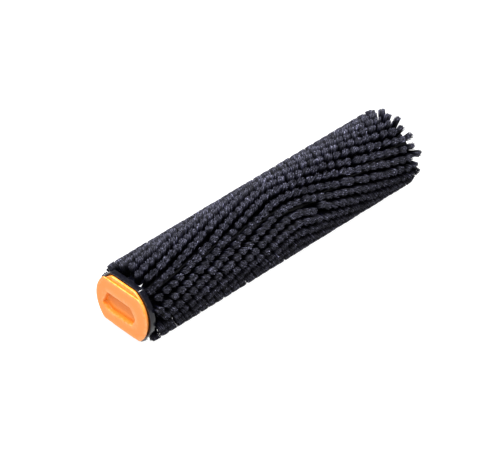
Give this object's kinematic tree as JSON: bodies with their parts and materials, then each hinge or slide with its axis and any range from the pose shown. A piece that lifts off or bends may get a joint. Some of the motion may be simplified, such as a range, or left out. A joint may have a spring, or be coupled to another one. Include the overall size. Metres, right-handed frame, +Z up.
{
  "type": "scrubber roller brush",
  "caption": "Cylindrical tufted scrubbing brush with chevron bristle rows, a drive socket in one end and a flatted bearing cap with a finger pocket on the other.",
  "frame": {"origin": "on the spin axis, halfway between the end cap's face and the drive hub's face", "axes": "+X along the spin axis from the end cap to the drive socket; +Z up, square to the cap's two flats; +Y to the left of the finger pocket seen from the cap's side with +Z up"},
  "size_m": [0.4136, 0.096, 0.096],
  "materials": {
    "cap_plastic": "moulded orange, satin to semi-gloss",
    "core_plastic": "black, glossy, moulded",
    "bristle": "charcoal filaments, dull sheen at the cut tips",
    "ground_steel": "ground",
    "ball_steel": "polished",
    "cage_plastic": "moulded, dark brown",
    "seal_rubber": "dull black"
  },
  "bodies": {
    "cap": {"end_cap": "cap_plastic", "cap_shroud": "core_plastic", "journal_pin": "ground_steel", "thrust_washer": "ground_steel", "bearing_inner_ring": "ground_steel", "pin_retaining_ring": "ground_steel"},
    "cage": {"ball_cage": "cage_plastic", "bearing_ball_1": "ball_steel", "bearing_ball_2": "ball_steel", "bearing_ball_3": "ball_steel", "bearing_ball_4": "ball_steel", "bearing_ball_5": "ball_steel", "bearing_ball_6": "ball_steel", "bearing_ball_7": "ball_steel", "bearing_ball_8": "ball_steel", "bearing_ball_9": "ball_steel"},
    "brush": {"bearing_outer_ring": "ground_steel", "bearing_shield_front": "seal_rubber", "bearing_shield_back": "seal_rubber", "bearing_housing": "core_plastic", "housing_retaining_ring": "ground_steel", "shaft_seal": "seal_rubber", "housing_seal_ring": "seal_rubber", "brush_core": "core_plastic", "drive_hub": "core_plastic", "hub_seal_ring": "seal_rubber", "bristle_row_01": "bristle", "bristle_row_02": "bristle", "bristle_row_03": "bristle", "bristle_row_04": "bristle", "bristle_row_05": "bristle", "bristle_row_06": "bristle", "bristle_row_07": "bristle", "bristle_row_08": "bristle", "bristle_row_09": "bristle", "bristle_row_10": "bristle", "bristle_row_11": "bristle", "bristle_row_12": "bristle", "bristle_row_13": "bristle", "bristle_row_14": "bristle", "bristle_row_15": "bristle", "bristle_row_16": "bristle", "bristle_row_17": "bristle", "bristle_row_18": "bristle", "bristle_row_19": "bristle", "bristle_row_20": "bristle", "bristle_row_21": "bristle", "bristle_row_22": "bristle", "bristle_row_23": "bristle", "bristle_row_24": "bristle"}
  },
  "joints": [
    {"name": "brush_spin", "type": "hinge", "parent": "cap", "child": "brush", "pos_m": [0, 0, 0], "axis": [1, 0, 0], "continuous": true},
    {"name": "cage_spin", "type": "hinge", "parent": "cap", "child": "cage", "pos_m": [-0.1797, 0, 0], "axis": [1, 0, 0], "continuous": true}
  ],
  "couplings": [
    {"joint": "cage_spin", "follows": "brush_spin", "ratio": 0.6013}
  ]
}
